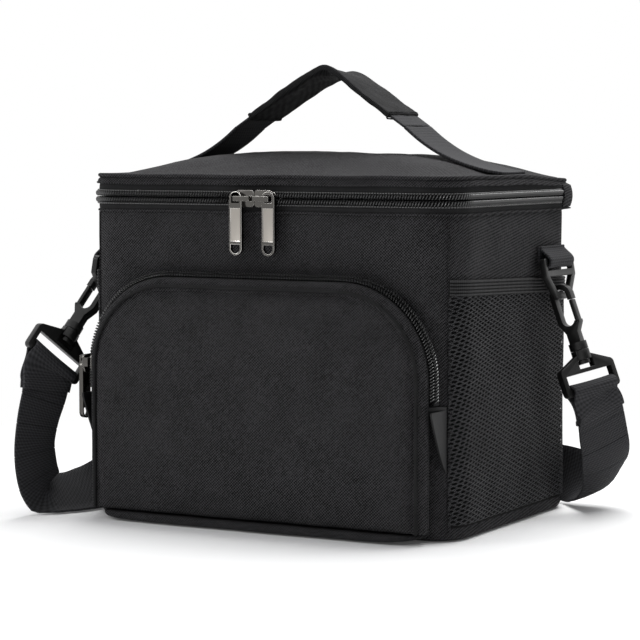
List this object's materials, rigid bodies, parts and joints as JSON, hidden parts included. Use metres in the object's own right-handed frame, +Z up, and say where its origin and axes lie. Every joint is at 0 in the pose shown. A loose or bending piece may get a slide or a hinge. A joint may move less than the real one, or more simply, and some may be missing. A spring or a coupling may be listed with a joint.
{
  "type": "insulated cooler bag",
  "caption": "Black soft-sided insulated cooler bag with zipped lid, front zip pocket, mesh side pockets, carry handle and a detachable shoulder strap on snap hooks.",
  "frame": {"origin": "centre of the flat base, on the surface that the bag stands on", "axes": "+Z up, +X to the right seen from the front, -Y toward the front pocket"},
  "size_m": [0.3894, 0.2362, 0.2957],
  "materials": {
    "black_fabric": "matte",
    "black_webbing": "matte",
    "black_mesh": "matte",
    "white_foam": "matte",
    "foil_liner": "satin",
    "zip_coil": "gloss",
    "rubber_tab": "satin",
    "nickel": "polished",
    "black_plastic": "satin"
  },
  "bodies": {
    "bag": {"base_panel": "black_fabric", "front_panel": "black_fabric", "back_panel": "black_fabric", "left_side_panel": "black_fabric", "right_side_panel": "black_fabric", "base_foam": "white_foam", "front_foam": "white_foam", "back_foam": "white_foam", "left_foam": "white_foam", "right_foam": "white_foam", "inner_liner": "foil_liner", "lower_zipper_tape": "black_webbing", "lower_zipper_coil": "zip_coil", "lid_hinge_strip": "black_fabric", "pocket_gusset": "black_fabric", "pocket_coil_inner": "zip_coil", "left_pocket_pleat": "black_fabric", "right_pocket_pleat": "black_fabric", "left_pocket_tab": "rubber_tab", "right_pocket_tab": "rubber_tab", "left_mesh_pocket": "black_mesh", "right_mesh_pocket": "black_mesh", "left_elastic_band": "black_webbing", "right_elastic_band": "black_webbing", "left_anchor_loop": "black_webbing", "right_anchor_loop": "black_webbing", "shoulder_strap": "black_webbing"},
    "lid": {"lid_top_panel": "black_fabric", "lid_foam": "white_foam", "lid_liner": "foil_liner", "upper_zipper_tape": "black_webbing", "upper_zipper_coil": "zip_coil", "handle_left_end": "black_webbing", "handle_right_end": "black_webbing"},
    "handle": {"handle_webbing": "black_webbing", "handle_sleeve": "black_fabric"},
    "left_slider": {"left_slider": "nickel"},
    "right_slider": {"right_slider": "nickel"},
    "left_pull": {"left_slider_pull": "nickel"},
    "right_pull": {"right_slider_pull": "nickel"},
    "pocket_front": {"pocket_front": "black_fabric", "pocket_coil_outer": "zip_coil"},
    "pocket_slider": {"pocket_slider": "nickel"},
    "pocket_pull": {"pocket_slider_pull": "nickel"},
    "strap_adjuster": {"strap_adjuster": "black_plastic"},
    "left_ring": {"left_ring": "black_plastic"},
    "left_hook": {"left_hook": "black_plastic"},
    "left_gate": {"left_hook_gate": "black_plastic"},
    "left_frame": {"left_strap_frame": "black_plastic", "left_strap_end": "black_webbing"},
    "right_ring": {"right_ring": "black_plastic"},
    "right_hook": {"right_hook": "black_plastic"},
    "right_gate": {"right_hook_gate": "black_plastic"},
    "right_frame": {"right_strap_frame": "black_plastic", "right_strap_end": "black_webbing"}
  },
  "joints": [
    {"name": "lid_hinge", "type": "hinge", "parent": "bag", "child": "lid", "pos_m": [0, 0.093, 0.2077], "axis": [-1, 0, 0], "range_deg": [0, 110], "deforming": ["lid_hinge_strip"]},
    {"name": "handle_tilt", "type": "hinge", "parent": "lid", "child": "handle", "pos_m": [0, 0, 0.25642], "axis": [1, 0, 0], "range_deg": [-60, 60]},
    {"name": "left_slider_slide", "type": "slide", "parent": "bag", "child": "left_slider", "axis": [1, 0, 0], "range_m": [-0.088, 0]},
    {"name": "right_slider_slide", "type": "slide", "parent": "bag", "child": "right_slider", "axis": [1, 0, 0], "range_m": [0, 0.095]},
    {"name": "left_pull_swing", "type": "hinge", "parent": "left_slider", "child": "left_pull", "pos_m": [-0.01505, -0.093, 0.2077], "axis": [0, 1, 0], "range_deg": [-8, 90]},
    {"name": "right_pull_swing", "type": "hinge", "parent": "right_slider", "child": "right_pull", "pos_m": [0.00845, -0.093, 0.2077], "axis": [0, -1, 0], "range_deg": [-8, 90]},
    {"name": "pocket_front_hinge", "type": "hinge", "parent": "bag", "child": "pocket_front", "pos_m": [0, -0.109, 0.009], "axis": [1, 0, 0], "range_deg": [0, 20], "deforming": ["left_pocket_pleat", "right_pocket_pleat"]},
    {"name": "pocket_slider_travel", "type": "hinge", "parent": "bag", "child": "pocket_slider", "pos_m": [-0.0625, -0.1, 0.099], "axis": [0, 1, 0], "range_deg": [0, 90]},
    {"name": "pocket_pull_swing", "type": "hinge", "parent": "pocket_slider", "child": "pocket_pull", "pos_m": [-0.1231, -0.1, 0.0972], "axis": [1, 0, 0], "range_deg": [-100, 3]},
    {"name": "right_ring_flip", "type": "hinge", "parent": "bag", "child": "right_ring", "pos_m": [0.13942, 0.048, 0.166], "axis": [0, -1, 0], "range_deg": [0, 60], "deforming": ["shoulder_strap"]},
    {"name": "right_hook_swing", "type": "hinge", "parent": "right_ring", "child": "right_hook", "pos_m": [0.14343, 0.048, 0.14325], "axis": [0, -1, 0], "range_deg": [0, 60], "deforming": ["shoulder_strap"]},
    {"name": "right_gate_swing", "type": "hinge", "parent": "right_hook", "child": "right_gate", "pos_m": [0.15504, 0.048, 0.12832], "axis": [0, -1, 0], "range_deg": [0, 16], "stiffness_Nm_per_rad": 0.02},
    {"name": "right_frame_swivel", "type": "hinge", "parent": "right_hook", "child": "right_frame", "pos_m": [0.14343, 0.048, 0.14325], "axis": [-0.342, 0, 0.9397], "continuous": true, "deforming": ["shoulder_strap"]},
    {"name": "left_ring_flip", "type": "hinge", "parent": "bag", "child": "left_ring", "pos_m": [-0.13942, -0.048, 0.166], "axis": [0, 1, 0], "range_deg": [0, 60], "deforming": ["shoulder_strap"]},
    {"name": "left_hook_swing", "type": "hinge", "parent": "left_ring", "child": "left_hook", "pos_m": [-0.14269, -0.06121, 0.14746], "axis": [-0.1021, 0.809, -0.5789], "range_deg": [0, 60], "deforming": ["shoulder_strap"]},
    {"name": "left_gate_swing", "type": "hinge", "parent": "left_hook", "child": "left_gate", "pos_m": [-0.15237, -0.07145, 0.13485], "axis": [-0.1021, 0.809, -0.5789], "range_deg": [0, 16], "stiffness_Nm_per_rad": 0.02},
    {"name": "left_frame_swivel", "type": "hinge", "parent": "left_hook", "child": "left_frame", "pos_m": [-0.14269, -0.06121, 0.14746], "axis": [0.2258, 0.5855, 0.7786], "continuous": true, "deforming": ["shoulder_strap"]},
    {"name": "adjuster_slide", "type": "slide", "parent": "bag", "child": "strap_adjuster", "axis": [1, 0, 0], "range_m": [-0.04, 0.04]}
  ]
}
